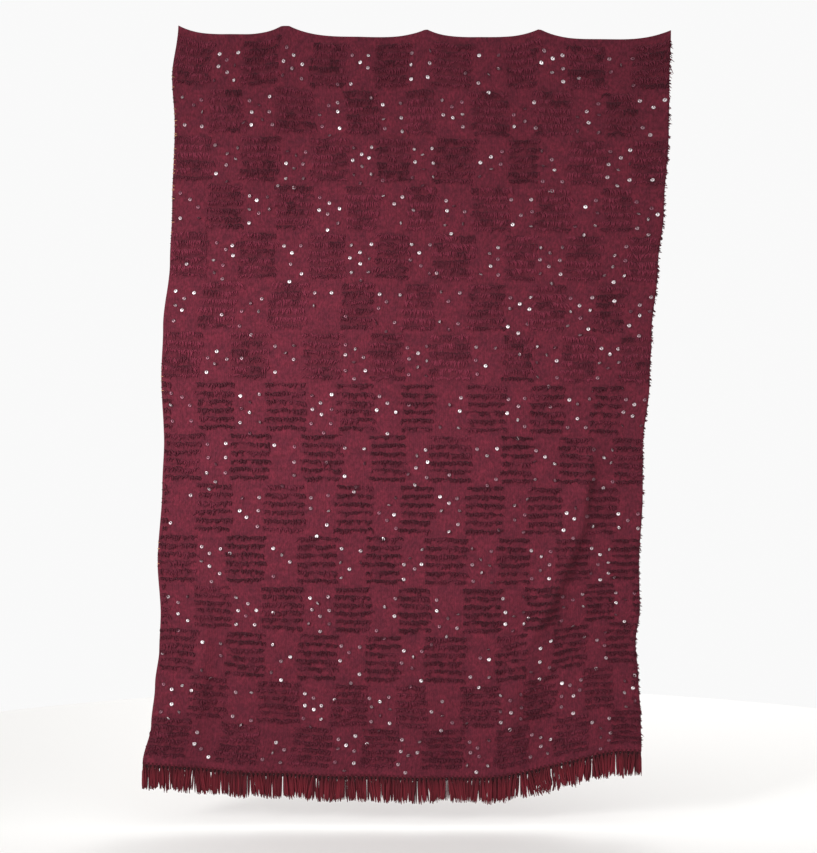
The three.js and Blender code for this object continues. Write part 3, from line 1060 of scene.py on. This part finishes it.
# A strand is twisted at the hem and then opens into a fan of yarns, over a stretch of its length
TWISTED = 0.0026  # radius of a twist, from its middle to the middle of a yarn
TURNS = 1.3
OPENS = (0.08, 0.32)
FAN = 0.0095
FAN_AT_HEM = 0.8
YARN_STRAY = 0.0009
DEEP = 0.0018
YARN_SWAY = 0.0018
STRAND_SWAY = 0.0030
YARN_GIRTH = (0.85, 1.2)
YARN_SWELLS = ((0, 0.2, 0.8, 1), (0.6, 0.9, 1, 0.4))  # places along a yarn, and its thickness there

# Every third yarn hangs behind the others, darkened as painted shade, and hardly follows their clump
BEHIND = 0.0032
SHADED = 0.5
STOUTER = 1.35
FOLLOWS = 0.08

# One part of the fringe is looser and curls
LOOSE = {"at": 0.300, "over": 0.030, "more": 2.5, "curl": 0.0035, "half_turns": 2.2}

TWINE_RADIUS = 0.0026
TWINE_BEHIND = 0.0022
TWINE_BELOW = 0.0044
TWINE_INSET = 0.002


class HANDIRA_OT_fringe(bpy.types.Operator):
    """Twist the warp ends below the hem into the fringe"""

    bl_idname = "handira.fringe"
    bl_label = "Fringe"

    def execute(self, context):
        look = context.scene.handira
        rng = np.random.default_rng(9)
        pitch = WIDTH / STRANDS
        index = np.arange(STRANDS)
        root = surface((index + 0.5) * pitch, np.full(STRANDS, LENGTH))
        lean = self.leans(pitch, rng)
        length = STRAND_LENGTH * rng.uniform(*STRANDS_DIFFER, STRANDS)
        paths, radii, shade = self.yarns(root, lean, length, look, rng)
        template, places, ring = tubes(YARN_SIDES, paths, radii, (0, 1.0, 0))
        # Painted shade under the hem
        shade = shade[:, None] * mix(DARK_AT_HEM, 1, np.minimum(ring / DARK_RINGS, 1))[None]
        shade = np.clip(shade, 0, 1)
        material = wool_yarn("wool_warp_yarn", look.fringe_root, look.fringe_tip, look.bloom)
        fringe = add_copies("fringe_yarns", template, places, material, "fringe_wool", shade=shade)
        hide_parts("fringe")
        self.twine(material)
        return {"FINISHED"}

    def twine(self, material):
        """Two yarns wound round each other behind the strands, which hold them below the hem, drawn in
        the darkest root colour as painted shadow under the hem.
        """
        across = np.linspace(TWINE_INSET, WIDTH - TWINE_INSET, STRANDS * 4)
        turn = np.pi * (STRANDS * across / WIDTH + np.array([[-0.5], [0.5]]))
        hem = surface(across, np.full(len(across), LENGTH))
        centres = np.broadcast_to(hem, (2, *hem.shape)).copy()
        centres[..., 1] += TWINE_BEHIND + TWINE_RADIUS * np.cos(turn)
        centres[..., 2] += -TWINE_BELOW + TWINE_RADIUS * np.sin(turn)
        radii = np.full(centres.shape[:2], TWINE_RADIUS)
        template, places, _ = tubes(5, centres, radii, (0, 1.0, 0))
        # Its shade of 0 is the darkest root colour: painted shadow below the hem
        add_copies("fringe_twining", template, places, material, "fringe_wool", shade=0)

    def leans(self, pitch, rng):
        """How far each strand leans sideways: to its clump's middle, and the way its clump sways."""
        lean = np.empty(STRANDS)
        start = 0
        while start < STRANDS:
            end = min(start + rng.integers(*STRANDS_A_CLUMP, endpoint=True), STRANDS)
            drawn_in = (start + end - 1) / 2 - np.arange(start, end)
            lean[start:end] = drawn_in * pitch * CLUMP_DRAWS_IN + rng.normal(0, CLUMP_SWAY)
            start = end
        return lean

    def yarns(self, root, lean, length, look, rng):
        """The path, radii and shade of every yarn of every strand."""
        t = np.linspace(0, 1, YARN_RINGS)[None, None]
        shape, strand = (STRANDS, YARNS, 1), (STRANDS, 1, 1)
        yarn = np.arange(YARNS)[None, :, None]
        angle = 2 * np.pi * (yarn / YARNS + TURNS * t)
        behind = yarn % 3 == 1
        opened = np.where(behind, 1, ease(t, *OPENS))
        follows = np.where(behind, FOLLOWS, 1)
        fan = (yarn / (YARNS - 1) - 0.5) * FAN * mix(FAN_AT_HEM, 1, t)
        evenly = (yarn - YARNS // 2) / YARNS * WIDTH / STRANDS
        fan = np.where(behind, evenly, fan) + rng.normal(0, YARN_STRAY, shape)
        along = (root[:, 0] - LOOSE["at"])[:, None, None] / LOOSE["over"]
        looser = LOOSE["more"] * np.exp(-(along**2))
        sway = YARN_SWAY * rng.normal(0, 1, shape) * t**2
        sway = sway + STRAND_SWAY * rng.normal(0, 1, strand) * t * follows
        curl = np.sin(LOOSE["half_turns"] * np.pi * t + rng.uniform(0, TURN, strand))
        curl = LOOSE["curl"] * looser * curl * t
        end = length[:, None, None] * rng.uniform(*YARNS_DIFFER, shape)
        x = mix(TWISTED * np.cos(angle), fan, opened)
        x = x + lean[:, None, None] * follows * t + sway * (1 + looser) + curl
        deep = rng.normal(0, DEEP, shape) + BEHIND * behind
        y = mix(TWISTED * np.sin(angle), deep, opened)
        paths = np.empty((STRANDS, YARNS, YARN_RINGS, 3))
        paths[..., 0] = root[:, 0, None, None] + x
        paths[..., 1] = root[:, 1, None, None] + y
        paths[..., 2] = root[:, 2, None, None] + ROOTED - t * (end + ROOTED)
        radii = look.yarn_width / 2 * rng.uniform(*YARN_GIRTH, shape) * np.interp(t, *YARN_SWELLS)
        radii *= np.where(behind, STOUTER, 1)
        shade = DARKEST + YARN_SHADES * rng.uniform(0, 1, (STRANDS, YARNS))
        shade += STRAND_SHADES * rng.uniform(0, 1, (STRANDS, 1))
        # Painted shade on the yarns behind
        shade *= np.where(behind[..., 0], SHADED, 1)
        return paths.reshape(-1, YARN_RINGS, 3), radii.reshape(-1, YARN_RINGS), shade.ravel()


STITCH_RINGS = 8
STITCH_REACH = 0.0075
STITCH_REACHES = (0.6, 1.15)
STITCH_RADIUS = 0.0009
STITCH_RADII = (0.8, 1.2)
OUTSIDE = 0.0008  # how far outside the cloth a stitch runs
ENDS_SUNK = 0.45  # how far out its ends are, as a share of the rest of it, and how fast they sink
SINKS_BY = 2.2
STITCH_STRAY = 0.006
STITCH_SLANT = 0.3
# The share of stitches drawn tan as painted light; the rest are dark, as painted shade
LIGHTED_SHARE = (0.55, 0.75)


class HANDIRA_OT_overcast(bpy.types.Operator):
    """Overcast the left selvedge where its stitches show"""

    bl_idname = "handira.overcast"
    bl_label = "Overcast stitches"

    def execute(self, context):
        look = context.scene.handira
        rng = np.random.default_rng(13)
        down = np.concatenate(
            [np.linspace(run["top"], run["bottom"], run["count"]) for run in STITCH_RUNS]
        )
        count = len(down)
        down = down + rng.uniform(-STITCH_STRAY, STITCH_STRAY, count)
        turn = np.linspace(-np.pi / 2, np.pi / 2, STITCH_RINGS)[None]
        reach = STITCH_REACH * rng.uniform(*STITCH_REACHES, count)[:, None]
        slant = rng.uniform(-STITCH_SLANT, STITCH_SLANT, count)[:, None]
        across = reach * (1 - np.cos(turn)) - OUTSIDE
        sunk = np.minimum(1, SINKS_BY * np.cos(turn) + ENDS_SUNK)
        out = -np.sin(turn) * (THICKNESS / 2 + OUTSIDE) * sunk
        up = -down[:, None] + slant * across
        flat = np.stack([across, up, np.broadcast_to(out, across.shape)], axis=-1)
        radii = STITCH_RADIUS * rng.uniform(*STITCH_RADII, count)[:, None] * np.ones(STITCH_RINGS)
        template, places, _ = tubes(5, flat, radii, (0, 1.0, 0))
        # Painted light and shade: each stitch is drawn tan or dark
        lighted = ease(rng.uniform(0, 1, count), *LIGHTED_SHARE)[:, None]
        material = wool_yarn("wool_overcast_yarn", look.overcast_shaded, look.overcast, look.bloom)
        add_copies("overcast_stitches", template, hang(places), material, shade=lighted)
        return {"FINISHED"}


# The stage

PIXEL = 0.00263  # what one pixel of the photograph spans at the blanket
PHOTO_WIDTH, PHOTO_HEIGHT = 817, 853
ORIGIN_PIXEL = (428, 29)  # where the part's origin is in the photograph


DISTANCE = 4.5
SENSOR = 36.0
CLEARANCE = 0.06
FLOOR_RADIUS = 2.4
LIGHTS = rows_of(
    "name place aim size spread watts",
    ("key", (-2.3, -2.7, -0.5), (-0.26, 0, -1.12), 0.9, 50, 11.5),
    ("fill", (2.2, -3.4, -0.6), (0, 0, -1.1), 2.4, 180, 9.5),
    ("back", (0.8, 3.2, 0.8), (0, 0, -1.0), 2.4, 180, 45),
)


class HANDIRA_OT_studio(bpy.types.Operator):
    """Set up the floor, the lights and the camera"""

    bl_idname = "handira.studio"
    bl_label = "Studio"

    def execute(self, context):
        scene = context.scene
        self.floor(scene)
        self.lights(scene)
        self.camera(scene)
        scene.view_settings.view_transform = "Standard"
        return {"FINISHED"}

    def floor(self, scene):
        bm = bmesh.new()
        bmesh.ops.create_circle(bm, cap_ends=True, segments=64, radius=FLOOR_RADIUS)
        bmesh.ops.translate(bm, verts=bm.verts, vec=(0, 0, CAD_BOX[0].z - CLEARANCE))
        mesh = bpy.data.meshes.new("floor")
        bm.to_mesh(mesh)
        bm.free()
        material, tree, shader = new_material("painted_floor")
        # Matt paint has a faint roller texture
        place = add(tree, "TexCoord").outputs["Object"]
        slopes = relief(tree, noise(tree, place, 0.004, 2), 0.05, 0.001)
        paint = {"Base Color": (*linear("eeedeb"), 1), "Roughness": 0.8, "Normal": slopes}
        fill(tree, shader, paint)
        mesh.materials.append(material)
        floor = bpy.data.objects.new("floor", mesh)
        scene.collection.objects.link(floor)

    def lights(self, scene):
        for row in LIGHTS:
            light = bpy.data.lights.new(row["name"], "AREA")
            light.energy = row["watts"]
            light.size = row["size"]
            light.spread = np.radians(row["spread"])
            lamp = bpy.data.objects.new(row["name"], light)
            lamp.location = row["place"]
            way = Vector(row["aim"]) - lamp.location
            lamp.rotation_euler = way.to_track_quat("-Z", "Y").to_euler()
            scene.collection.objects.link(lamp)
        world = bpy.data.worlds.new("studio")
        world.use_nodes = True
        background = world.node_tree.nodes["Background"]
        fill(world.node_tree, background, {"Color": (1, 1, 1, 1), "Strength": 0.95})
        scene.world = world

    def camera(self, scene):
        data = bpy.data.cameras.new("camera")
        data.sensor_width = SENSOR
        data.lens = SENSOR * DISTANCE / (PHOTO_HEIGHT * PIXEL)
        camera = bpy.data.objects.new("camera", data)
        x = (PHOTO_WIDTH / 2 - ORIGIN_PIXEL[0]) * PIXEL
        z = (ORIGIN_PIXEL[1] - PHOTO_HEIGHT / 2) * PIXEL
        camera.location = (x, -DISTANCE, z)
        camera.rotation_euler = Vector((0, 1, 0)).to_track_quat("-Z", "Y").to_euler()
        scene.collection.objects.link(camera)
        scene.camera = camera


class HANDIRA_PT_panel(bpy.types.Panel):
    """Lists the blanket's pieces in the sidebar"""

    bl_label = "Handira"
    bl_idname = "HANDIRA_PT_panel"
    bl_space_type = "VIEW_3D"
    bl_region_type = "UI"
    bl_category = "Handira"

    def draw(self, context):
        for key in HandiraLook.__annotations__:
            self.layout.prop(context.scene.handira, key)
        for operator in OPERATORS:
            self.layout.operator(operator.bl_idname)


OPERATORS = (
    HANDIRA_OT_cloth,
    HANDIRA_OT_shag,
    HANDIRA_OT_sequins,
    HANDIRA_OT_fringe,
    HANDIRA_OT_overcast,
    HANDIRA_OT_studio,
)
CLASSES = (HandiraLook, *OPERATORS, HANDIRA_PT_panel)


def register():
    for cls in CLASSES:
        bpy.utils.register_class(cls)
    bpy.types.Scene.handira = PointerProperty(type=HandiraLook)


def unregister():
    del bpy.types.Scene.handira
    for cls in reversed(CLASSES):
        bpy.utils.unregister_class(cls)


def main():
    register()
    bpy.ops.handira.cloth()
    bpy.ops.handira.shag()
    bpy.ops.handira.sequins()
    bpy.ops.handira.fringe()
    bpy.ops.handira.overcast()
    bpy.ops.handira.studio()


if __name__ == "__main__":
    main()
